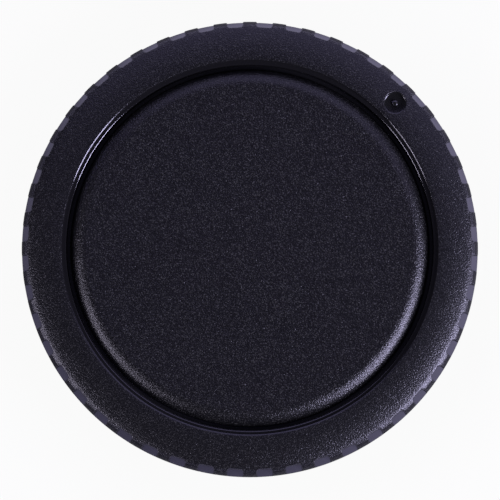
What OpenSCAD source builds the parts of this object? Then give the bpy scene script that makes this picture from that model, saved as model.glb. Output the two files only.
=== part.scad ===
// Camera body cap, moulded in one piece: a notched grip rim and a raised centre disc in front,
// a hollow collar with three bayonet lugs behind. The cap lies face up on the collar's rear rim,
// which is z = 0; the axis is Z and the index dimple points between +X and +Y.

/* [Bayonet] */
// Diameter of the camera's throat, which the lugs pass through
throat_d = 54; // [53:0.1:54.4]
// Clearance between the lugs and the throat, on the radius
throat_clearance = 0.2; // [0.1:0.05:0.4]
// How far a lug stands out of the collar
lug_w = 1.5; // [1.2:0.1:2]
// Wall of the collar
collar_wall = 1.6; // [1.2:0.1:2]
// Depth of the collar behind the seating face
collar_depth = 4.8; // [4.4:0.1:6]
// Chamfer on the collar's rear rim, which finds the throat
collar_lead = 0.4; // [0.2:0.1:0.6]
// Number of bayonet lugs
lug_count = 3; // [2:1:4]
// Length of a lug round the collar, in degrees
lug_arc = 56; // [40:1:60]
// Thickness of a lug along the axis
lug_t = 1.5; // [1.2:0.1:1.7]
// Gap between the seating face and a lug, for the camera's own lugs
lug_gap = 1.6; // [1.3:0.1:1.8]
// Chamfer on both edges of a lug, which draws the cap home
lug_lead = 0.35; // [0.2:0.05:0.5]
// Length of the stop at the end of a lug's gap, in degrees
stop_arc = 5; // [3:1:8]
// How far the stop stands out of the collar
stop_w = 1; // [0.6:0.1:1]
// Direction of the middle of the first lug, in degrees from +X
lug_angle = 90; // [0:5:120]

/* [Grip rim] */
// Width of the front ring, from its lip to the outside of the grip
ring_w = 5.75; // [5:0.05:7]
// Height of the rim from the seating face to the front lip
rim_h = 4.6; // [4.2:0.1:6]
// Radius of the crown arc across the front ring
crown_r = 14.7; // [12:0.5:30]
// Radius that rolls the front ring over into the grip
rim_round = 1.9; // [1.2:0.1:2.2]
// Thickness of the full flange behind the notches, at its edge
flange_h = 0.9; // [0.5:0.1:1.4]
// Slope of the notch floors, falling outwards, in degrees
floor_slope = 55; // [30:1:60]

/* [Notches] */
// Number of grip notches round the rim
notch_count = 48; // [24:1:60]
// Width of a notch
notch_w = 2.28; // [1.2:0.02:2.4]
// Depth of a notch into the rim
notch_depth = 0.9; // [0.5:0.05:1.2]
// Radius in the inner corners of a notch
notch_corner = 0.4; // [0.1:0.05:0.5]

/* [Centre disc and groove] */
// How far the groove's outer wall stands outside the collar
groove_out = 1.33; // [1:0.01:1.8]
// Width of the smooth ledge just inside the lip
ledge_w = 0.62; // [0.3:0.02:0.8]
// Drop from the lip to the ledge
ledge_drop = 0.4; // [0.2:0.05:0.8]
// Width of the groove's flat floor
groove_w = 0.75; // [0.5:0.05:1]
// Depth of the groove's floor below the lip
groove_depth = 2.1; // [1.5:0.1:2.3]
// Height of the centre disc above the lip
disc_rise = 0.2; // [0:0.05:0.5]
// Radius round the edge of the centre disc
disc_round = 2.3; // [1:0.1:2.3]
// Small radius on the lip and on the ledge's edge
edge_round = 0.12; // [0.05:0.01:0.18]

/* [Index dimple] */
// Diameter of the index dimple
index_d = 3.2; // [2:0.1:3.6]
// Depth of the dimple below the lip
index_depth = 1.1; // [0.6:0.1:1.3]
// Distance of the dimple's middle outside the lip
index_out = 2.45; // [2.2:0.05:2.8]
// Direction of the dimple, in degrees from +X
index_angle = 45; // [0:7.5:360]
// Diameter of the pip in the middle of the dimple
pip_d = 1; // [0.6:0.1:1.2]
// Height of the pip
pip_h = 0.35; // [0.3:0.05:0.5]
// Radius round the top of the pip
pip_round = 0.25; // [0.1:0.05:0.25]

/* [Walls] */
// Wall of the centre disc, over the hollow
disc_wall = 1.8; // [1.4:0.1:2.2]
// Wall of the front ring, over the channel behind it
ring_wall = 1.9; // [1.8:0.1:2.3]
// Wall between the notches and the channel behind the front ring
skirt_wall = 1.4; // [1:0.1:1.6]
// Wall between the groove and the channel behind the front ring
groove_wall = 1.1; // [1:0.05:1.5]
// Radius in the corners of the hollow and the channel
inner_round = 0.6; // [0.2:0.1:0.8]

/* [Hidden] */
$fn = 96;
// How far a cutter passes the surface that it opens
over = 1;
// How deep an added form is rooted in the one that carries it
root = 0.5;
// How deep the flange is rooted in the rim, inside the notches
flange_root = 0.2;

// Radii: the throat sets the lugs and the collar, and each ring of the front follows from them
lug_r = throat_d / 2 - throat_clearance;
collar_r = lug_r - lug_w;
bore_r = collar_r - collar_wall;
ledge_r = collar_r + groove_out;
disc_r = ledge_r - groove_w;
lip_r = ledge_r + ledge_w;
index_r = lip_r + index_out;
rim_r = lip_r + ring_w;
notch_r = rim_r - notch_depth;
seat_r = ledge_r + groove_wall;
channel_r = notch_r - skirt_wall;

// Heights, from the collar's rear rim upwards
seat_z = collar_depth;
lug_z = seat_z - lug_gap - lug_t;
lip_z = seat_z + rim_h;
ledge_z = lip_z - ledge_drop;
groove_z = lip_z - groove_depth;
channel_z = lip_z - ring_wall;
disc_z = lip_z + disc_rise;
hollow_z = disc_z - disc_wall;
index_z = lip_z - index_depth;

// The crown arc starts level at the lip's edge, and the rim's round touches both it and the grip
crown_start_r = lip_r + edge_round;
crown_z = lip_z - crown_r;
round_r = rim_r - rim_round;
round_z = crown_z + sqrt(pow(crown_r - rim_round, 2) - pow(round_r - crown_start_r, 2));
touch_r = crown_start_r + crown_r * (round_r - crown_start_r) / (crown_r - rim_round);

// Rectangle in section, from one corner to the opposite one
module block(r0, z0, r1, z1) {
    translate([r0, z0]) square([r1 - r0, z1 - z0]);
}

// Quarter round that fills a block's corner; side is -1 for the inner corner, 1 for the outer
module quarter(r, z, size, side) {
    intersection() {
        translate([r, z]) circle(size);
        translate([side > 0 ? r : r - size, z]) square(size);
    }
}

// Rounded-top block: its upper corners have their own radii, 0 for a sharp one
module rounded_block(r0, z0, r1, z1, inner, outer) {
    tall = max(inner, outer);
    block(r0, z0, r1, z1 - tall);
    block(r0 + inner, z0, r1 - outer, z1);
    if (inner > 0) {
        block(r0, z0, r0 + inner, z1 - inner);
        quarter(r0 + inner, z1 - inner, inner, -1);
    }
    if (outer > 0) {
        block(r1 - outer, z0, r1, z1 - outer);
        quarter(r1 - outer, z1 - outer, outer, 1);
    }
}

// Front ring: the crown arc outside the lip, rolled over into the straight grip
module ring_section() {
    intersection() {
        translate([crown_start_r, crown_z]) circle(crown_r);
        block(crown_start_r, seat_z, touch_r, lip_z);
    }
    quarter(round_r, round_z, rim_round, 1);
    block(lip_r, seat_z, rim_r, round_z);
    block(lip_r, seat_z, crown_start_r, lip_z - edge_round);
    quarter(crown_start_r, lip_z - edge_round, edge_round, -1);
}

// Ledge inside the lip, the groove's floor, the centre disc and the collar
module centre_section() {
    rounded_block(ledge_r, seat_z, lip_r, ledge_z, edge_round, 0);
    block(bore_r, seat_z, ledge_r, groove_z);
    rounded_block(0, seat_z, disc_r, disc_z, 0, disc_round);
    polygon([
        [bore_r, 0],
        [collar_r - collar_lead, 0],
        [collar_r, collar_lead],
        [collar_r, seat_z],
        [bore_r, seat_z]
    ]);
}

// Hollow inside the collar and the channel behind the front ring
module moulded_voids() {
    rounded_block(0, -over, bore_r, hollow_z, 0, inner_round);
    rounded_block(seat_r, seat_z - over, channel_r, channel_z, inner_round, inner_round);
}

// The cap turned from its section, before the notches and the dimple
module blank() {
    rotate_extrude()
        difference() {
            union() {
                ring_section();
                centre_section();
            }
            moulded_voids();
        }
}

// One grip notch along +X, with rounded inner corners and open outwards
module notch() {
    half = notch_w / 2;
    translate([notch_r, 0, seat_z])
        linear_extrude(rim_h + over) {
            translate([0, notch_corner - half]) square([notch_depth + over, notch_w - 2 * notch_corner]);
            translate([notch_corner, -half]) square([notch_depth + over - notch_corner, notch_w]);
            for (side = [-1, 1])
                translate([notch_corner, side * (half - notch_corner)]) circle(notch_corner);
        }
}

// Full flange behind the notches, whose sloped top is their floor
module flange() {
    root_r = notch_r - flange_root;
    rotate_extrude()
        polygon([
            [root_r, seat_z],
            [rim_r, seat_z],
            [rim_r, seat_z + flange_h],
            [root_r, seat_z + flange_h + (rim_r - root_r) * tan(floor_slope)]
        ]);
}

// Index dimple: a blind round recess that keeps a rounded pip in the middle of its floor
module index_dimple() {
    rotate(index_angle)
        translate([index_r, 0, index_z])
            difference() {
                cylinder(h = index_depth + over, d = index_d);
                rotate_extrude() rounded_block(0, -root, pip_d / 2, pip_h, 0, pip_round);
            }
}

// One bayonet lug in section, chamfered on both outer edges and rooted in the collar
module lug_section() {
    polygon([
        [collar_r - root, lug_z],
        [lug_r - lug_lead, lug_z],
        [lug_r, lug_z + lug_lead],
        [lug_r, lug_z + lug_t - lug_lead],
        [lug_r - lug_lead, lug_z + lug_t],
        [collar_r - root, lug_z + lug_t]
    ]);
}

// Bayonet lug with the stop that closes one end of its gap
module lug() {
    rotate(-lug_arc / 2)
        rotate_extrude(angle = lug_arc) lug_section();
    rotate(lug_arc / 2 - stop_arc)
        rotate_extrude(angle = stop_arc)
            block(collar_r - root, lug_z + lug_t - root, collar_r + stop_w, seat_z + root);
}

module body_cap() {
    color([0.02, 0.02, 0.025]) {
        difference() {
            blank();
            for (i = [0 : notch_count - 1])
                rotate((i + 0.5) * 360 / notch_count) notch();
            index_dimple();
        }
        flange();
        for (i = [0 : lug_count - 1])
            rotate(lug_angle + i * 360 / lug_count) lug();
    }
}

body_cap();
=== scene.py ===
import math

import bpy
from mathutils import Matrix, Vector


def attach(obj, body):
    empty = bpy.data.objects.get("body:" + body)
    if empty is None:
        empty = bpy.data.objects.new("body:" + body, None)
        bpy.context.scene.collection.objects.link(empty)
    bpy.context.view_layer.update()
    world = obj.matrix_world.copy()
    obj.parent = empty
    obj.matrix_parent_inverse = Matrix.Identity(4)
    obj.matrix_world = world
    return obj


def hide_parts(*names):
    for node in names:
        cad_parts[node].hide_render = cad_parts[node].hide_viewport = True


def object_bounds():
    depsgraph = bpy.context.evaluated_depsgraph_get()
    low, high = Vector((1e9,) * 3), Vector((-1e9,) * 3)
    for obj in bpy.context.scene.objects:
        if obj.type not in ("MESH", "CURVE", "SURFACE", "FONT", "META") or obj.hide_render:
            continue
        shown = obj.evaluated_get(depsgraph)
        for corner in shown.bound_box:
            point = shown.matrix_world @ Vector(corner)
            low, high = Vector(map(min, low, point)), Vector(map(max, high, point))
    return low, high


# Camera body cap, moulded in black plastic. Sizes are in millimetres until the mesh is finished,
# and heights are measured from the collar's rear rim, on which the cap lies.

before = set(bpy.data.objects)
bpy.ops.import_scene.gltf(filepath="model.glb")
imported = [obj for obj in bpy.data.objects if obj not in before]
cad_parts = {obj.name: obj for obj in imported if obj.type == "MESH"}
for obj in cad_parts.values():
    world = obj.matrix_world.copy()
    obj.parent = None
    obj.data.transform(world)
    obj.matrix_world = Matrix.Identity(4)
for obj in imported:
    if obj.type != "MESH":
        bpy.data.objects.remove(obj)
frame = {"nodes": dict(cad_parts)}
cadLow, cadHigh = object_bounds()
print("frame loaded:", ", ".join(frame["nodes"]))

mm = 0.001
near = 0.01  # within this, a corner counts as on a line
nearTurn = 0.03  # the same for a turn in degrees
nearFloor = 0.003  # the same for a notch's floor
sectorMerge = 0.0005  # distances within which corners are merged
seamMerge = 0.002
rimRadius = (cadHigh.x - cadLow.x) / 2 / mm
capHeight = cadHigh.z / mm

cap = {
    "discRise": 0.2,  # centre disc above the lip
    "discRound": 2.3,
    "ringWidth": 5.83,  # from the lip to the outside of the grip
    "crownRound": 14.7,
    "rimRound": 1.9,
    "lipRound": 0.12,
    "ledgeRound": 0.15,
    "ledgeWidth": 0.62,
    "ledgeDrop": 0.4,
    "grooveWidth": 0.67,
    "grooveDepth": 2.1,
    "grooveFillet": 0.15,
    "grooveOut": 1.25,  # groove's outer wall outside the collar
    "lugWidth": 1.5,
    "collarWall": 1.6,
    "collarDepth": 4.8,
    "collarLead": 0.4,
    "discWall": 1.8,
    "ringWall": 1.9,
    "skirtWall": 1.4,
    "grooveWall": 1.1,
    "innerRound": 0.6,
    "flangeRound": 0.15,
    "rearRound": 0.1,
    "notchCount": 48,
}

notchSize = {
    "width": 2.28,
    "depth": 0.9,
    "corner": 0.4,
    "flangeHeight": 0.9,
    "floorSlope": 55,
    "edge": 0.12,  # round on the edges of the opening
    "edgeSteps": 3,
    "guard": 0.45,  # degrees from a notch's side to the next column of faces
    "cornerTurn": 67.5,  # degrees of each inner corner's arc
    "cornerSteps": 3,
    "sharp": 40,  # degrees from which an edge gets a round
}

# Radii and heights that follow from those sizes
seatHeight = cap["collarDepth"]
lipHeight = capHeight - cap["discRise"]
ledgeHeight = lipHeight - cap["ledgeDrop"]
grooveHeight = lipHeight - cap["grooveDepth"]
channelHeight = lipHeight - cap["ringWall"]
hollowHeight = capHeight - cap["discWall"]
flangeHeight = seatHeight + notchSize["flangeHeight"]
lipRadius = rimRadius - cap["ringWidth"]
ledgeRadius = lipRadius - cap["ledgeWidth"]
discRadius = ledgeRadius - cap["grooveWidth"]
collarRadius = ledgeRadius - cap["grooveOut"]
boreRadius = collarRadius - cap["collarWall"]
seatRadius = ledgeRadius + cap["grooveWall"]
notchRadius = rimRadius - notchSize["depth"]
channelRadius = notchRadius - cap["skirtWall"]
crownRadius = lipRadius + cap["lipRound"]
crownCentre = lipHeight - cap["crownRound"]
roundRadius = rimRadius - cap["rimRound"]
roundCentre = crownCentre + math.sqrt(
    (cap["crownRound"] - cap["rimRound"]) ** 2 - (roundRadius - crownRadius) ** 2
)
touchShare = cap["crownRound"] / (cap["crownRound"] - cap["rimRound"])
touchRadius = crownRadius + touchShare * (roundRadius - crownRadius)
pitch = 360 / cap["notchCount"]


def rimHeight(r):  # height of the front ring's turned surface
    if r < crownRadius:
        return lipHeight
    if r < touchRadius:
        return crownCentre + math.sqrt(cap["crownRound"] ** 2 - (r - crownRadius) ** 2)
    return roundCentre + math.sqrt(max(cap["rimRound"] ** 2 - (r - roundRadius) ** 2, 0))


def floorHeight(r):  # height of a notch's sloping floor
    return flangeHeight + (rimRadius - r) * math.tan(math.radians(notchSize["floorSlope"]))


def polar(co):
    return math.hypot(co.x, co.y), math.degrees(math.atan2(co.y, co.x))


def deselectObjects():
    if bpy.context.object:
        bpy.ops.object.mode_set(mode="OBJECT")
    bpy.ops.object.select_all(action="DESELECT")


def selectOnly(obj):
    bpy.ops.object.select_all(action="DESELECT")
    obj.select_set(True)
    bpy.context.view_layer.objects.active = obj


def pickParts(obj, kind, test):  # leaves edit mode on, with only the chosen parts selected
    if obj.mode == "EDIT":
        bpy.ops.object.mode_set(mode="OBJECT")
    mesh = obj.data
    mesh.polygons.foreach_set("select", [False] * len(mesh.polygons))
    mesh.edges.foreach_set("select", [False] * len(mesh.edges))
    mesh.vertices.foreach_set("select", [False] * len(mesh.vertices))
    parts = {"VERT": mesh.vertices, "EDGE": mesh.edges, "FACE": mesh.polygons}[kind]
    count = 0
    for part in parts:
        if test(part):
            part.select = True
            count += 1
            if kind == "EDGE":
                for index in part.vertices:
                    mesh.vertices[index].select = True
    bpy.ops.object.mode_set(mode="EDIT")
    bpy.ops.mesh.select_mode(type=kind)
    return count


def openEdges(mesh):  # edges that only one face uses
    uses = {}
    for face in mesh.polygons:
        for key in face.edge_keys:
            uses[key] = uses.get(key, 0) + 1
    return {key for key, count in uses.items() if count == 1}


def sharpEdges(mesh, degrees):  # edges whose two faces meet at more than this angle
    normals = {}
    for face in mesh.polygons:
        for key in face.edge_keys:
            normals.setdefault(key, []).append(face.normal.copy())
    limit = math.cos(math.radians(degrees))
    return {key for key, pair in normals.items() if len(pair) == 2 and pair[0].dot(pair[1]) < limit}


def moveHeights(obj, test, height):  # sets the chosen corners on a height that follows their radius
    bpy.ops.object.mode_set(mode="OBJECT")
    for vertex in obj.data.vertices:
        if test(vertex):
            vertex.co.z = height(polar(vertex.co)[0])
    obj.data.update()


lugSize = {
    "count": 3,
    "length": 56,  # degrees
    "thickness": 1.5,
    "gap": 1.6,
    "lead": 0.35,
    "stopLength": 5,  # degrees
    "stopWidth": 1,
    "angle": 90,
    "edge": 0.08,
    "edgeSteps": 2,
    "sharp": 35,  # degrees from which an edge gets a round
    "fromBore": 0.5,  # no rounds nearer the bore than this
}
lugTop = seatHeight - lugSize["gap"]
lugBottom = lugTop - lugSize["thickness"]

# Section of the cap, drawn with a pen from the middle of the disc round to the middle of the hollow
pen = {"x": 0.0, "z": 0.0}

arcSteps = {
    "disc": 12,
    "fillet": 3,
    "ledge": 5,
    "lip": 4,
    "crown": 12,
    "shoulder": 2,  # from the crown to the notches' inner end
    "grip": 4,
    "flange": 3,
    "rear": 2,
    "inner": 4,
}


def startPen(x, z):
    bpy.ops.mesh.primitive_plane_add(size=1, location=(0, 0, 0))
    bpy.ops.object.mode_set(mode="EDIT")
    bpy.ops.mesh.select_mode(type="VERT")
    bpy.ops.mesh.merge(type="CENTER")
    bpy.ops.transform.translate(value=(x, 0, z))
    pen.update(x=x, z=z)


def lineTo(x, z):
    bpy.ops.mesh.extrude_region_move(
        TRANSFORM_OT_translate={"value": (x - pen["x"], 0, z - pen["z"])}
    )
    pen.update(x=x, z=z)


def arcTo(x, z, centreX, centreZ, steps):
    start = math.atan2(pen["x"] - centreX, pen["z"] - centreZ)
    turn = math.atan2(x - centreX, z - centreZ) - start
    turn = (turn + math.pi) % (2 * math.pi) - math.pi
    bpy.ops.mesh.spin(steps=steps, angle=turn, center=(centreX, 0, centreZ), axis=(0, -1, 0))
    pen.update(x=x, z=z)


def drawSection():
    fillet = cap["grooveFillet"]
    lip = cap["lipRound"]
    ledge = cap["ledgeRound"]
    rear = cap["rearRound"]
    inner = cap["innerRound"]
    flange = cap["flangeRound"]
    discStart = discRadius - cap["discRound"]
    discCentre = capHeight - cap["discRound"]
    reach = cap["discRound"] + fillet
    footX = discStart + reach * math.sin(math.acos((grooveHeight + fillet - discCentre) / reach))
    footShare = cap["discRound"] / reach
    startPen(0, capHeight)
    lineTo(discStart, capHeight)
    arcTo(
        discStart + footShare * (footX - discStart),
        discCentre + footShare * (grooveHeight + fillet - discCentre),
        discStart, discCentre, arcSteps["disc"],
    )
    arcTo(footX, grooveHeight, footX, grooveHeight + fillet, arcSteps["fillet"])
    lineTo(ledgeRadius - fillet, grooveHeight)
    wallFoot = grooveHeight + fillet
    arcTo(ledgeRadius, wallFoot, ledgeRadius - fillet, wallFoot, arcSteps["fillet"])
    lineTo(ledgeRadius, ledgeHeight - ledge)
    ledgeStart = ledgeRadius + ledge
    arcTo(ledgeStart, ledgeHeight, ledgeStart, ledgeHeight - ledge, arcSteps["ledge"])
    lineTo(lipRadius - rear, ledgeHeight)
    arcTo(lipRadius, ledgeHeight + rear, lipRadius - rear, ledgeHeight + rear, arcSteps["rear"])
    lineTo(lipRadius, lipHeight - lip)
    arcTo(crownRadius, lipHeight, crownRadius, lipHeight - lip, arcSteps["lip"])
    arcTo(touchRadius, rimHeight(touchRadius), crownRadius, crownCentre, arcSteps["crown"])
    arcTo(notchRadius, rimHeight(notchRadius), roundRadius, roundCentre, arcSteps["shoulder"])
    cornerEnd = notchRadius + notchSize["corner"]
    arcTo(cornerEnd, rimHeight(cornerEnd), roundRadius, roundCentre, 1)
    arcTo(rimRadius, roundCentre, roundRadius, roundCentre, arcSteps["grip"])
    lineTo(rimRadius, flangeHeight)
    lineTo(rimRadius, seatHeight + flange)
    flangeEnd = rimRadius - flange
    arcTo(flangeEnd, seatHeight, flangeEnd, seatHeight + flange, arcSteps["flange"])
    seatEdge = seatHeight + rear
    channelEdge = channelHeight - inner
    lineTo(channelRadius + rear, seatHeight)
    arcTo(channelRadius, seatEdge, channelRadius + rear, seatEdge, arcSteps["rear"])
    lineTo(channelRadius, channelEdge)
    arcTo(channelRadius - inner, channelHeight, channelRadius - inner, channelEdge, arcSteps["inner"])
    lineTo(seatRadius + inner, channelHeight)
    arcTo(seatRadius, channelEdge, seatRadius + inner, channelEdge, arcSteps["inner"])
    lineTo(seatRadius, seatEdge)
    arcTo(seatRadius - rear, seatHeight, seatRadius - rear, seatEdge, arcSteps["rear"])
    lineTo(collarRadius + lugSize["stopWidth"], seatHeight)
    lineTo(collarRadius, seatHeight)
    lineTo(collarRadius, lugTop)
    lineTo(collarRadius, lugBottom)
    lineTo(collarRadius, cap["collarLead"])
    lineTo(collarRadius - cap["collarLead"], 0)
    lineTo(boreRadius + rear, 0)
    arcTo(boreRadius, rear, boreRadius + rear, rear, arcSteps["rear"])
    hollowEdge = hollowHeight - inner
    lineTo(boreRadius, hollowEdge)
    arcTo(boreRadius - inner, hollowHeight, boreRadius - inner, hollowEdge, arcSteps["inner"])
    lineTo(0, hollowHeight)


def spinColumns(degrees, steps):
    bpy.ops.mesh.spin(steps=steps, angle=math.radians(degrees), center=(0, 0, 0), axis=(0, 0, -1))


def makeSector():  # one notch with half a ridge on each side
    deselectObjects()
    drawSection()
    sector = bpy.context.object
    sector.name = "body_cap_shell"
    half = notchSize["width"] / 2
    corner = notchSize["corner"]
    side = math.degrees(math.asin(half / (notchRadius + corner)))
    bend = math.degrees(math.asin((half - corner) / notchRadius))
    guard = side + notchSize["guard"]
    bpy.ops.mesh.select_all(action="SELECT")
    for degrees, steps in (
        (pitch / 2 - guard, 2), (guard - side, 1), (side - bend, 1), (2 * bend, 4),
        (side - bend, 1), (guard - side, 1), (pitch / 2 - guard, 2),
    ):
        spinColumns(degrees, steps)
    bpy.ops.mesh.select_all(action="SELECT")
    bpy.ops.mesh.remove_doubles(threshold=sectorMerge)
    bpy.ops.mesh.normals_make_consistent(inside=False)
    cutNotch(sector, side, bend)
    return sector


def fromMiddle(co):  # radius, and degrees from the middle of the sector
    r, angle = polar(co)
    return r, angle - pitch / 2


def isNear(a, b, slack=near):
    return abs(a - b) < slack


def cutNotch(sector, side, bend):
    mesh = sector.data
    end = notchRadius + notchSize["corner"]

    def inOpening(face):
        r, angle = fromMiddle(face.center)
        return abs(angle) < side and r > notchRadius and face.center.z > flangeHeight

    pickParts(sector, "FACE", inOpening)
    bpy.ops.mesh.delete(type="FACE")

    # Rounded inner corners, each filled out to the corner that the opening had
    for way in (-1, 1):
        def atBend(vertex):
            r, angle = fromMiddle(vertex.co)
            return isNear(r, notchRadius) and isNear(angle, way * bend) and vertex.co.z > flangeHeight

        pickParts(sector, "VERT", atBend)
        bpy.ops.object.mode_set(mode="OBJECT")
        start = next(v.co.copy() for v in mesh.vertices if v.select)
        before = len(mesh.vertices)
        middle = math.radians(pitch / 2)
        across = way * (notchSize["width"] / 2 - notchSize["corner"])
        along = math.sqrt(end ** 2 - (notchSize["width"] / 2) ** 2)
        centre = (
            along * math.cos(middle) - across * math.sin(middle),
            along * math.sin(middle) + across * math.cos(middle),
            start.z,
        )
        bpy.ops.object.mode_set(mode="EDIT")
        turn = math.radians(notchSize["cornerTurn"])
        bpy.ops.mesh.spin(steps=notchSize["cornerSteps"], angle=turn, center=centre, axis=(0, 0, way))
        moveHeights(sector, lambda vertex: vertex.index >= before, rimHeight)

        def onCorner(vertex):
            r, angle = fromMiddle(vertex.co)
            isTop = isNear(vertex.co.z, rimHeight(r))
            isInside = bend - near < way * angle < side + nearTurn
            return isTop and isInside and notchRadius - near < r < end + 2 * near

        def onOldCorner(vertex):
            r, angle = fromMiddle(vertex.co)
            return isNear(r, notchRadius) and isNear(angle, way * side) and vertex.co.z > flangeHeight

        pickParts(sector, "VERT", onCorner)
        bpy.ops.mesh.edge_face_add()
        pickParts(sector, "VERT", onOldCorner)
        bpy.ops.mesh.dissolve_verts()

    # Inner wall, drawn down from the opening's inner end to the floor
    rims = openEdgesNow(sector)

    def onInnerEnd(edge):
        if tuple(sorted(edge.vertices)) not in rims:
            return False
        for index in edge.vertices:
            r, angle = fromMiddle(mesh.vertices[index].co)
            if abs(angle) > side + nearTurn or not notchRadius - near < r < end + 2 * near:
                return False
        return True

    pickParts(sector, "EDGE", onInnerEnd)
    bpy.ops.mesh.extrude_region_move(
        TRANSFORM_OT_translate={"value": (0, 0, floorHeight(notchRadius) - rimHeight(notchRadius))}
    )
    moveHeights(sector, lambda vertex: vertex.select, floorHeight)

    def isFloorCorner(vertex, way):
        r, angle = fromMiddle(vertex.co)
        onFloor = isNear(vertex.co.z, floorHeight(r), nearFloor)
        return onFloor and isNear(way * angle, side, nearTurn) and end - 2 * near < r < rimRadius + near

    for way in (-1, 1):
        pickParts(sector, "VERT", lambda vertex: isFloorCorner(vertex, way))
        bpy.ops.mesh.edge_face_add()

    # Floor and side walls, each one face
    bpy.ops.object.mode_set(mode="OBJECT")

    def onFloor(vertex):
        r, angle = fromMiddle(vertex.co)
        atFloor = isNear(vertex.co.z, floorHeight(r), nearFloor)
        return atFloor and abs(angle) < side + nearTurn and notchRadius - near < r < rimRadius + near

    pickParts(sector, "VERT", onFloor)
    bpy.ops.mesh.edge_face_add()
    for way in (-1, 1):
        def onSide(vertex):
            r, angle = fromMiddle(vertex.co)
            isAbove = vertex.co.z > floorHeight(r) - near
            return isAbove and isNear(way * angle, side, nearTurn) and end - 2 * near < r

        pickParts(sector, "VERT", onSide)
        bpy.ops.mesh.edge_face_add()
    bpy.ops.mesh.select_all(action="SELECT")
    bpy.ops.mesh.normals_make_consistent(inside=False)
    bpy.ops.object.mode_set(mode="OBJECT")

    # Small rounds on the opening and the flange's edge; the floor keeps a crisp foot all round
    sharp = sharpEdges(mesh, notchSize["sharp"])

    def onNotch(edge):
        if tuple(sorted(edge.vertices)) not in sharp:
            return False
        onFoot = 0
        for index in edge.vertices:
            r, angle = fromMiddle(mesh.vertices[index].co)
            z = mesh.vertices[index].co.z
            if abs(angle) > side + nearTurn or r < notchRadius - near or z < flangeHeight - near:
                return False
            if r < rimRadius - near and isNear(z, floorHeight(r)):
                onFoot += 1
        return onFoot == 0

    print("notch edges to round:", pickParts(sector, "EDGE", onNotch))
    bpy.ops.mesh.bevel(
        offset=notchSize["edge"], segments=notchSize["edgeSteps"], affect="EDGES", clamp_overlap=False
    )


def openEdgesNow(obj):
    bpy.ops.object.mode_set(mode="OBJECT")
    return openEdges(obj.data)


def repeatSector():
    count = cap["notchCount"] - 1
    bpy.ops.mesh.select_all(action="SELECT")
    bpy.ops.mesh.spin(
        steps=count, angle=math.radians(count * pitch), dupli=True, center=(0, 0, 0), axis=(0, 0, -1)
    )
    bpy.ops.mesh.select_all(action="SELECT")
    bpy.ops.mesh.remove_doubles(threshold=seamMerge)
    bpy.ops.mesh.normals_make_consistent(inside=False)
    bpy.ops.object.mode_set(mode="OBJECT")


def turnFrom(co, degrees):  # degrees round the axis from a given direction
    return (polar(co)[1] - degrees + 180) % 360 - 180


def makeLugs(shell):
    half = lugSize["length"] / 2
    tip = collarRadius + cap["lugWidth"]
    stop = collarRadius + lugSize["stopWidth"]
    centres = [lugSize["angle"] + i * 360 / lugSize["count"] for i in range(lugSize["count"])]

    def onLug(co):
        return any(abs(turnFrom(co, centre)) < half for centre in centres)

    def onStop(co):
        return any(half - lugSize["stopLength"] < turnFrom(co, centre) < half for centre in centres)

    def lugWall(face):
        r, _ = polar(face.center)
        atWall = abs(r - collarRadius) < near
        z = face.center.z
        return atWall and (
            (lugBottom < z < lugTop and onLug(face.center))
            or (lugTop < z < seatHeight and onStop(face.center))
        )

    pickParts(shell, "FACE", lugWall)
    bpy.ops.mesh.extrude_region_move()
    grow = stop / collarRadius
    bpy.ops.transform.resize(value=(grow, grow, 1), center_override=(0, 0, 0))

    def lugTipWall(face):
        atWall = abs(polar(face.center)[0] - stop) < near
        return atWall and lugBottom < face.center.z < lugTop

    pickParts(shell, "FACE", lugTipWall)
    bpy.ops.mesh.extrude_region_move()
    grow = tip / stop
    bpy.ops.transform.resize(value=(grow, grow, 1), center_override=(0, 0, 0))

    def underStop(face):
        isLevel = isNear(face.center.z, seatHeight, near / 2)
        return isLevel and collarRadius < polar(face.center)[0] < stop and onStop(face.center)

    pickParts(shell, "FACE", underStop)
    bpy.ops.mesh.delete(type="FACE")
    bpy.ops.mesh.select_all(action="SELECT")
    bpy.ops.mesh.remove_doubles(threshold=seamMerge)
    bpy.ops.object.mode_set(mode="OBJECT")
    mesh = shell.data

    def isLongEdge(edge):
        first, second = (mesh.vertices[index].co for index in edge.vertices)
        if not (isNear(polar(first)[0], tip) and isNear(polar(second)[0], tip)):
            return False
        atTop = isNear(first.z, lugTop) and isNear(second.z, lugTop)
        return atTop or (isNear(first.z, lugBottom) and isNear(second.z, lugBottom))

    print("lug edges to chamfer:", pickParts(shell, "EDGE", isLongEdge))
    bpy.ops.mesh.bevel(offset=lugSize["lead"], segments=1, affect="EDGES", clamp_overlap=False)
    bpy.ops.object.mode_set(mode="OBJECT")
    sharp = sharpEdges(mesh, lugSize["sharp"])

    def isBackEdge(edge):
        if tuple(sorted(edge.vertices)) not in sharp:
            return False
        return all(
            boreRadius + lugSize["fromBore"] < polar(mesh.vertices[index].co)[0] < tip + near
            and mesh.vertices[index].co.z < seatHeight + near
            for index in edge.vertices
        )

    print("back edges to round:", pickParts(shell, "EDGE", isBackEdge))
    bpy.ops.mesh.bevel(
        offset=lugSize["edge"], segments=lugSize["edgeSteps"], affect="EDGES", clamp_overlap=True
    )
    bpy.ops.mesh.select_all(action="SELECT")
    bpy.ops.mesh.normals_make_consistent(inside=False)
    bpy.ops.object.mode_set(mode="OBJECT")


dimpleSize = {
    "diameter": 3.2,
    "depth": 1.1,
    "out": 2.53,  # from the lip
    "angle": 45,
    "pip": 1,
    "pipHeight": 0.35,
    "pipRound": 0.33,
    "edge": 0.1,
    "fillet": 0.15,
    "pipSteps": 4,
    "edgeSteps": 3,
    "patch": (0.4, 0.05),  # how far the faces round it stay clear of the lip and of the rolled rim
    "rows": (0.4, 0.5, 1),  # how far each row of faces closes in on its round edge
}


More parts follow.
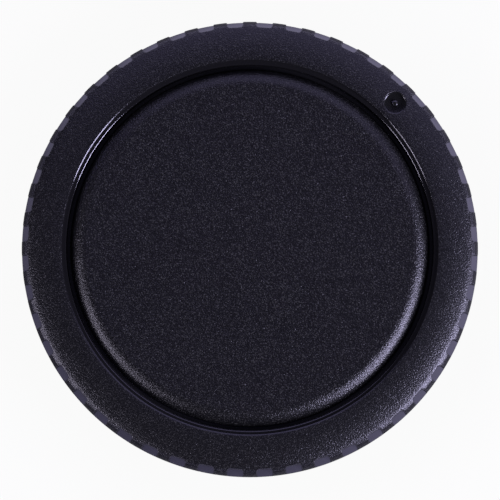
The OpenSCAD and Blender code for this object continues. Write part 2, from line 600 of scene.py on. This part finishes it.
def makeDimple(shell):
    angle = math.radians(dimpleSize["angle"])
    away = lipRadius + dimpleSize["out"]
    centre = (away * math.cos(angle), away * math.sin(angle), 0)
    radius = dimpleSize["diameter"] / 2
    floor = lipHeight - dimpleSize["depth"]
    pipRadius = dimpleSize["pip"] / 2
    inner, outer = dimpleSize["patch"]

    def inPatch(face):
        r, _ = polar(face.center)
        isTop = face.center.z > floor
        return isTop and abs(turnFrom(face.center, dimpleSize["angle"])) < pitch / 2 and (
            crownRadius + inner < r < touchRadius - outer
        )

    print("faces under the dimple:", pickParts(shell, "FACE", inPatch))
    bpy.ops.mesh.delete(type="FACE")
    rim = openEdgesNow(shell)
    pickParts(shell, "EDGE", lambda edge: tuple(sorted(edge.vertices)) in rim)

    # Rows of faces that close in from the square patch to the dimple's round edge
    for share in dimpleSize["rows"]:
        bpy.ops.mesh.extrude_region_move()
        bpy.ops.object.mode_set(mode="OBJECT")
        for vertex in shell.data.vertices:
            if vertex.select:
                x = vertex.co.x - centre[0]
                y = vertex.co.y - centre[1]
                now = math.hypot(x, y)
                scale = (now + (radius - now) * share) / now
                vertex.co.x = centre[0] + x * scale
                vertex.co.y = centre[1] + y * scale
                vertex.co.z = rimHeight(polar(vertex.co)[0])
        bpy.ops.object.mode_set(mode="EDIT")

    # Wall, floor and pip
    bpy.ops.mesh.extrude_region_move()
    moveHeights(shell, lambda vertex: vertex.select, lambda r: floor)
    bpy.ops.object.mode_set(mode="EDIT")
    bpy.ops.mesh.extrude_region_move()
    shrink = dimpleSize["pip"] / dimpleSize["diameter"]
    middle = (centre[0], centre[1], floor)
    bpy.ops.transform.resize(value=(shrink, shrink, 1), center_override=middle)
    rise = (0, 0, dimpleSize["pipHeight"])
    bpy.ops.mesh.extrude_region_move(TRANSFORM_OT_translate={"value": rise})
    bpy.ops.mesh.edge_face_add()
    bpy.ops.mesh.select_all(action="SELECT")
    bpy.ops.mesh.normals_make_consistent(inside=False)
    bpy.ops.object.mode_set(mode="OBJECT")
    mesh = shell.data

    def nearCentre(edge, low, high, test):
        for index in edge.vertices:
            co = mesh.vertices[index].co
            reach = math.hypot(co.x - centre[0], co.y - centre[1])
            if not (low < reach < high and test(co)):
                return False
        return True

    def isPipTop(edge):
        top = floor + dimpleSize["pipHeight"]
        low = pipRadius - 10 * near
        return nearCentre(edge, low, pipRadius + 10 * near, lambda co: isNear(co.z, top, near / 2))

    def isWallFoot(edge):
        low = radius - near
        return nearCentre(edge, low, radius + near, lambda co: isNear(co.z, floor, near / 2))

    def isDimpleRim(edge):
        def onRing(co):
            return isNear(co.z, rimHeight(polar(co)[0]))

        return nearCentre(edge, radius - near, radius + near, onRing)

    for test, size, steps in (
        (isPipTop, dimpleSize["pipRound"], dimpleSize["pipSteps"]),
        (isWallFoot, dimpleSize["fillet"], dimpleSize["edgeSteps"]),
        (isDimpleRim, dimpleSize["edge"], dimpleSize["edgeSteps"]),
    ):
        print("dimple edges to round:", pickParts(shell, "EDGE", test))
        bpy.ops.mesh.bevel(offset=size, segments=steps, affect="EDGES", clamp_overlap=False)
        bpy.ops.object.mode_set(mode="OBJECT")


def reportStage(stage):
    print(stage, len(shell.data.vertices), "corners,", len(openEdges(shell.data)), "open edges")


shell = makeSector()
repeatSector()
reportStage("shell:")
makeLugs(shell)
reportStage("lugs:")
makeDimple(shell)
reportStage("dimple:")

# One black plastic in five finishes: spark-eroded grain on the disc, a shallower one on the ring, the
# same but duller on the grip, smooth in the groove and the notches, and a little hazier in the dimple
plastic = {
    "discSpeck": (0.032, 0.031, 0.039, 1),
    "discDark": (0.0018, 0.0017, 0.0025, 1),
    "discHeight": 0.00008,
    "ringSpeck": (0.0285, 0.0275, 0.035, 1),
    "ringDark": (0.0026, 0.0025, 0.0036, 1),
    "ringHeight": 0.000065,
    "smoothColour": (0.0053, 0.005, 0.007, 1),
    "dimpleColour": (0.0056, 0.0056, 0.0065, 1),
    "tint": (0.72, 0.69, 1, 1),
    "grainSize": 0.00018,
    "grainDetail": 1,
    "grainMix": 0.5,  # how much its finer octave counts
    "speckRange": (0.56, 0.7),  # share of the grain's height where specks start and are full
    "roughRange": (0.35, 0.65, 0.37, 0.28),  # low and high grain, and how rough each is
    "grainShine": 0.5,
    "gripShine": 0.14,
    "smoothRoughness": 0.09,
    "dimpleRoughness": 0.22,
    "smoothShine": 1,
    "hazeScale": 900,
    "hazeDetail": 4,
    "hazeSpread": (-0.03, 0.06),  # how much the smooth finish varies in roughness
}


def newMaterial(name):
    material = bpy.data.materials.new(name)
    material.use_nodes = True
    nodes = material.node_tree.nodes
    return material, nodes, material.node_tree.links, nodes["Principled BSDF"]


def spreadValue(nodes, low, high, start, end):
    spread = nodes.new("ShaderNodeMapRange")
    spread.inputs["From Min"].default_value = low
    spread.inputs["From Max"].default_value = high
    spread.inputs["To Min"].default_value = start
    spread.inputs["To Max"].default_value = end
    return spread


def makeGrain(name, height, speck, dark, shine):
    material, nodes, links, shader = newMaterial(name)
    place = nodes.new("ShaderNodeTexCoord")
    grain = nodes.new("ShaderNodeTexNoise")
    grain.inputs["Scale"].default_value = 1 / plastic["grainSize"]
    grain.inputs["Detail"].default_value = plastic["grainDetail"]
    grain.inputs["Roughness"].default_value = plastic["grainMix"]
    links.new(place.outputs["Object"], grain.inputs["Vector"])
    bump = nodes.new("ShaderNodeBump")
    bump.inputs["Distance"].default_value = height
    links.new(grain.outputs["Fac"], bump.inputs["Height"])
    links.new(bump.outputs["Normal"], shader.inputs["Normal"])
    shade = nodes.new("ShaderNodeValToRGB")
    ends = shade.color_ramp.elements
    ends[0].position, ends[1].position = plastic["speckRange"]
    ends[0].color = dark
    ends[1].color = speck
    links.new(grain.outputs["Fac"], shade.inputs["Fac"])
    links.new(shade.outputs["Color"], shader.inputs["Base Color"])
    spread = spreadValue(nodes, *plastic["roughRange"])
    links.new(grain.outputs["Fac"], spread.inputs["Value"])
    links.new(spread.outputs["Result"], shader.inputs["Roughness"])
    shader.inputs["Specular Tint"].default_value = plastic["tint"]
    shader.inputs["Specular IOR Level"].default_value = shine
    return material


def makeSmooth(name, roughness, colour):
    material, nodes, links, shader = newMaterial(name)
    place = nodes.new("ShaderNodeTexCoord")
    haze = nodes.new("ShaderNodeTexNoise")
    haze.inputs["Scale"].default_value = plastic["hazeScale"]
    haze.inputs["Detail"].default_value = plastic["hazeDetail"]
    links.new(place.outputs["Object"], haze.inputs["Vector"])
    less, more = plastic["hazeSpread"]
    spread = spreadValue(nodes, 0, 1, roughness + less, roughness + more)
    links.new(haze.outputs["Fac"], spread.inputs["Value"])
    links.new(spread.outputs["Result"], shader.inputs["Roughness"])
    shader.inputs["Base Color"].default_value = colour
    shader.inputs["Specular IOR Level"].default_value = plastic["smoothShine"]
    shader.inputs["Specular Tint"].default_value = plastic["tint"]
    return material


finishes = {
    "discFoot": 0.12,  # smooth width round the foot of the disc
    "discStart": 0.4,  # and its height above the groove's floor
    "upwards": -0.1,  # least tilt of a face that belongs to the disc's front
    "lipWidth": 0.05,  # grained part of the lip's round
    "ringSlack": 0.035,  # how far a grained face may lie from the ring's turned surface
    "openingSlack": 0.018,  # the same round the notches, so that their rounds stay smooth
    "openingTurn": 0.12,  # degrees that a notch's round reaches past its side
    "gripFoot": 0.15,  # height over the flange from which the grip is grained
    "steep": 0.4,  # tilt below which a face in a notch is one of its walls
    "wallStart": 0.05,
}


def isDiscFace(r, z, tilt):
    onFront = r < discRadius - finishes["discFoot"] and z > grooveHeight + finishes["discStart"]
    inHollow = z < hollowHeight + 2 * near and tilt < 0
    return onFront and tilt > finishes["upwards"] and not inHollow


def isRingFace(r, z, tilt, fromNotch):
    side = math.degrees(math.asin(notchSize["width"] / 2 / (notchRadius + notchSize["corner"])))
    onOpening = r > notchRadius - notchSize["edge"] and fromNotch < side + finishes["openingTurn"]
    slack = finishes["openingSlack"] if onOpening else finishes["ringSlack"]
    onTop = r > crownRadius - finishes["lipWidth"] and abs(z - rimHeight(r)) < slack
    onGrip = r > rimRadius - 2 * near and z > flangeHeight + finishes["gripFoot"]
    inNotch = r > notchRadius - finishes["wallStart"] and z > flangeHeight
    return onTop or onGrip or (inNotch and abs(tilt) < finishes["steep"])


def isDimpleFace(centre):
    away = lipRadius + dimpleSize["out"]
    angle = math.radians(dimpleSize["angle"])
    reach = math.hypot(centre.x - away * math.cos(angle), centre.y - away * math.sin(angle))
    return reach < dimpleSize["diameter"] / 2 and centre.z > hollowHeight


def dressShell(shell):
    discLook = (plastic["discHeight"], plastic["discSpeck"], plastic["discDark"])
    ringLook = (plastic["ringHeight"], plastic["ringSpeck"], plastic["ringDark"])
    disc = makeGrain("discPlastic", *discLook, plastic["grainShine"])
    ring = makeGrain("ringPlastic", *ringLook, plastic["grainShine"])
    grip = makeGrain("gripPlastic", *ringLook, plastic["gripShine"])
    groove = makeSmooth("smoothPlastic", plastic["smoothRoughness"], plastic["smoothColour"])
    dimple = makeSmooth("dimplePlastic", plastic["dimpleRoughness"], plastic["dimpleColour"])
    order = [disc, ring, groove, dimple, grip]
    for material in order:
        shell.data.materials.append(material)
    for face in shell.data.polygons:
        r, degrees = polar(face.center)
        z = face.center.z
        tilt = face.normal.z
        finish = groove
        if isDimpleFace(face.center):
            finish = dimple
        elif isDiscFace(r, z, tilt):
            finish = disc
        elif isRingFace(r, z, tilt, abs(degrees % pitch - pitch / 2)):
            finish = grip if r > notchRadius + notchSize["corner"] else ring
        face.material_index = order.index(finish)
    print("finishes:", ", ".join(material.name for material in order))


crispAngle = 34  # degrees from which an edge is shaded sharp
dressShell(shell)
bpy.ops.object.mode_set(mode="EDIT")
bpy.ops.mesh.select_all(action="SELECT")
bpy.ops.transform.resize(value=(mm, mm, mm), center_override=(0, 0, 0))
bpy.ops.object.mode_set(mode="OBJECT")
selectOnly(shell)
bpy.ops.object.shade_smooth_by_angle(angle=math.radians(crispAngle))
bpy.ops.object.modifier_add(type="WEIGHTED_NORMAL")
shell.modifiers[-1].keep_sharp = True
bpy.ops.object.modifier_apply(modifier=shell.modifiers[-1].name)
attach(shell, "root")
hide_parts("body_cap")

# Camera where the photograph was taken from: almost straight above, a little towards the near side
view = {
    "tilt": 4.7,
    "distance": 1.2,
    "lens": 596.2,
    "clip": (0.1, 20),
    "aim": (0.00002, -0.00002, 0.0048),
}
cameraData = bpy.data.cameras.new("photoCamera")
camera = bpy.data.objects.new("photoCamera", cameraData)
bpy.context.scene.collection.objects.link(camera)
bpy.context.scene.camera = camera
tilt = math.radians(view["tilt"])
cameraData.lens = view["lens"]
cameraData.clip_start, cameraData.clip_end = view["clip"]
camera.location = (
    view["aim"][0],
    view["aim"][1] - view["distance"] * math.sin(tilt),
    view["aim"][2] + view["distance"] * math.cos(tilt),
)
camera.rotation_euler = (tilt, 0, 0)

# Soft lamps round the cap: compass direction from the picture's top, angle from straight above,
# distance and size in metres, brightness as a share of white, colour
lamps = {
    "windowRight": (118, 64, 0.9, 0.32, 0.5, 32, (0.97, 0.96, 1)),
    "windowLeft": (243, 66, 0.9, 0.3, 0.35, 16, (1, 0.97, 0.9)),
    "skyTop": (9, 52, 0.9, 1.4, 0.9, 1.07, (0.82, 0.78, 1)),
}


def makeLamp(name, compass, polarAngle, distance, width, height, brightness, colour):
    data = bpy.data.lights.new(name, "AREA")
    data.shape = "RECTANGLE"
    data.size = width
    data.size_y = height
    data.energy = brightness * math.pi * width * height
    data.color = colour
    lamp = bpy.data.objects.new(name, data)
    bpy.context.scene.collection.objects.link(lamp)
    sideways = math.radians(compass)
    down = math.radians(polarAngle)
    lamp.location = (
        distance * math.sin(down) * math.sin(sideways),
        distance * math.sin(down) * math.cos(sideways),
        distance * math.cos(down),
    )
    lamp.rotation_euler = (down, 0, math.pi - sideways)


for name, facts in lamps.items():
    makeLamp(name, *facts)

# Pale floor and surroundings: white where the camera sees them, dim where they only light the cap, and
# in reflections a painted glow with painted shadow at the cap's foot
studio = {
    "ambient": 0.032,
    "ambientTint": (0.85, 0.85, 1, 1),
    "cameraWhite": (1, 1, 1, 1),
    "floorSize": 6,
    "floorRoughness": 0.9,
    "floorShadowNear": (0.1, 0.1, 0.12, 1),  # its colour darkened at the cap's foot as painted shadow, and its own colour further out
    "floorFar": (0.33, 0.32, 0.43, 1),
    "floorWhite": 0.95,
    "foot": (0.035, 0.046, 0, 1),  # painted reflection glow: how much lighter the floor is mirrored, from the cap outwards, with painted shadow at the foot
    "lean": (0.05, 0, 1),  # and, as painted light, across the picture, from the lower left to the upper right
    "edge": (0.06, 0.12, 0, 0.8),  # and, as painted reflection, towards the far edge, which the notches' rounds mirror
    # colour of the painted reflection glow
    "paintedReflectionColour": (0.86, 0.82, 1, 1),
    "towards": (0.6, 0.8, 0),
}


def makeWorld():
    world = bpy.data.worlds.new("studio")
    bpy.context.scene.world = world
    world.use_nodes = True
    nodes = world.node_tree.nodes
    links = world.node_tree.links
    back = nodes["Background"]
    back.inputs["Color"].default_value = studio["ambientTint"]
    back.inputs["Strength"].default_value = studio["ambient"]
    white = nodes.new("ShaderNodeBackground")
    white.inputs["Color"].default_value = studio["cameraWhite"]
    path = nodes.new("ShaderNodeLightPath")
    mix = nodes.new("ShaderNodeMixShader")
    links.new(path.outputs["Is Camera Ray"], mix.inputs["Fac"])
    links.new(back.outputs["Background"], mix.inputs[1])
    links.new(white.outputs["Background"], mix.inputs[2])
    links.new(mix.outputs["Shader"], nodes["World Output"].inputs["Surface"])


def makeFloor():
    bpy.ops.mesh.primitive_plane_add(size=studio["floorSize"], location=(0, 0, 0))
    floor = bpy.context.object
    floor.name = "paleFloor"
    material, nodes, links, matt = newMaterial("paleFloor")
    matt.inputs["Roughness"].default_value = studio["floorRoughness"]
    path = nodes.new("ShaderNodeLightPath")
    place = nodes.new("ShaderNodeTexCoord")
    away = nodes.new("ShaderNodeVectorMath")
    away.operation = "LENGTH"
    links.new(place.outputs["Object"], away.inputs[0])
    foot = spreadValue(nodes, *studio["foot"])
    links.new(away.outputs["Value"], foot.inputs["Value"])
    # Painted shadow: the floor's colour gets darker towards the cap's foot
    footShadowPaint = nodes.new("ShaderNodeValToRGB")
    footShadowPaint.color_ramp.elements[0].color = studio["floorShadowNear"]
    footShadowPaint.color_ramp.elements[1].color = studio["floorFar"]
    links.new(foot.outputs["Result"], footShadowPaint.inputs["Fac"])
    links.new(footShadowPaint.outputs["Color"], matt.inputs["Base Color"])
    across = nodes.new("ShaderNodeVectorMath")
    across.operation = "DOT_PRODUCT"
    across.inputs[1].default_value = studio["towards"]
    links.new(place.outputs["Object"], across.inputs[0])
    reach, dim, light = studio["lean"]
    lean = spreadValue(nodes, -reach, reach, dim, light)
    links.new(across.outputs["Value"], lean.inputs["Value"])
    mirrored = nodes.new("ShaderNodeMath")
    mirrored.operation = "MULTIPLY"
    links.new(foot.outputs["Result"], mirrored.inputs[0])
    links.new(lean.outputs["Result"], mirrored.inputs[1])
    edge = spreadValue(nodes, *studio["edge"])
    links.new(away.outputs["Value"], edge.inputs["Value"])
    total = nodes.new("ShaderNodeMath")
    total.operation = "ADD"
    links.new(mirrored.outputs["Value"], total.inputs[0])
    links.new(edge.outputs["Result"], total.inputs[1])
    # Painted reflection: a glow that only glossy rays see, darker at the cap's foot and lighter towards
    # the upper right and the far edge
    paintedReflection = nodes.new("ShaderNodeEmission")
    paintedReflection.inputs["Color"].default_value = studio["paintedReflectionColour"]
    white = nodes.new("ShaderNodeEmission")
    share = nodes.new("ShaderNodeMath")
    share.operation = "MULTIPLY"
    share.inputs[1].default_value = studio["floorWhite"]
    links.new(path.outputs["Is Camera Ray"], share.inputs[0])
    onlyMirrored = nodes.new("ShaderNodeMath")
    onlyMirrored.operation = "MULTIPLY"
    links.new(total.outputs["Value"], onlyMirrored.inputs[0])
    links.new(path.outputs["Is Glossy Ray"], onlyMirrored.inputs[1])
    links.new(onlyMirrored.outputs["Value"], paintedReflection.inputs["Strength"])
    inMirror = nodes.new("ShaderNodeAddShader")
    links.new(matt.outputs["BSDF"], inMirror.inputs[0])
    links.new(paintedReflection.outputs["Emission"], inMirror.inputs[1])
    seen = nodes.new("ShaderNodeMixShader")
    links.new(share.outputs["Value"], seen.inputs["Fac"])
    links.new(inMirror.outputs["Shader"], seen.inputs[1])
    links.new(white.outputs["Emission"], seen.inputs[2])
    links.new(seen.outputs["Shader"], nodes["Material Output"].inputs["Surface"])
    floor.data.materials.append(material)


makeWorld()
makeFloor()
print("studio ready")

bpy.context.scene.view_settings.view_transform = "Standard"
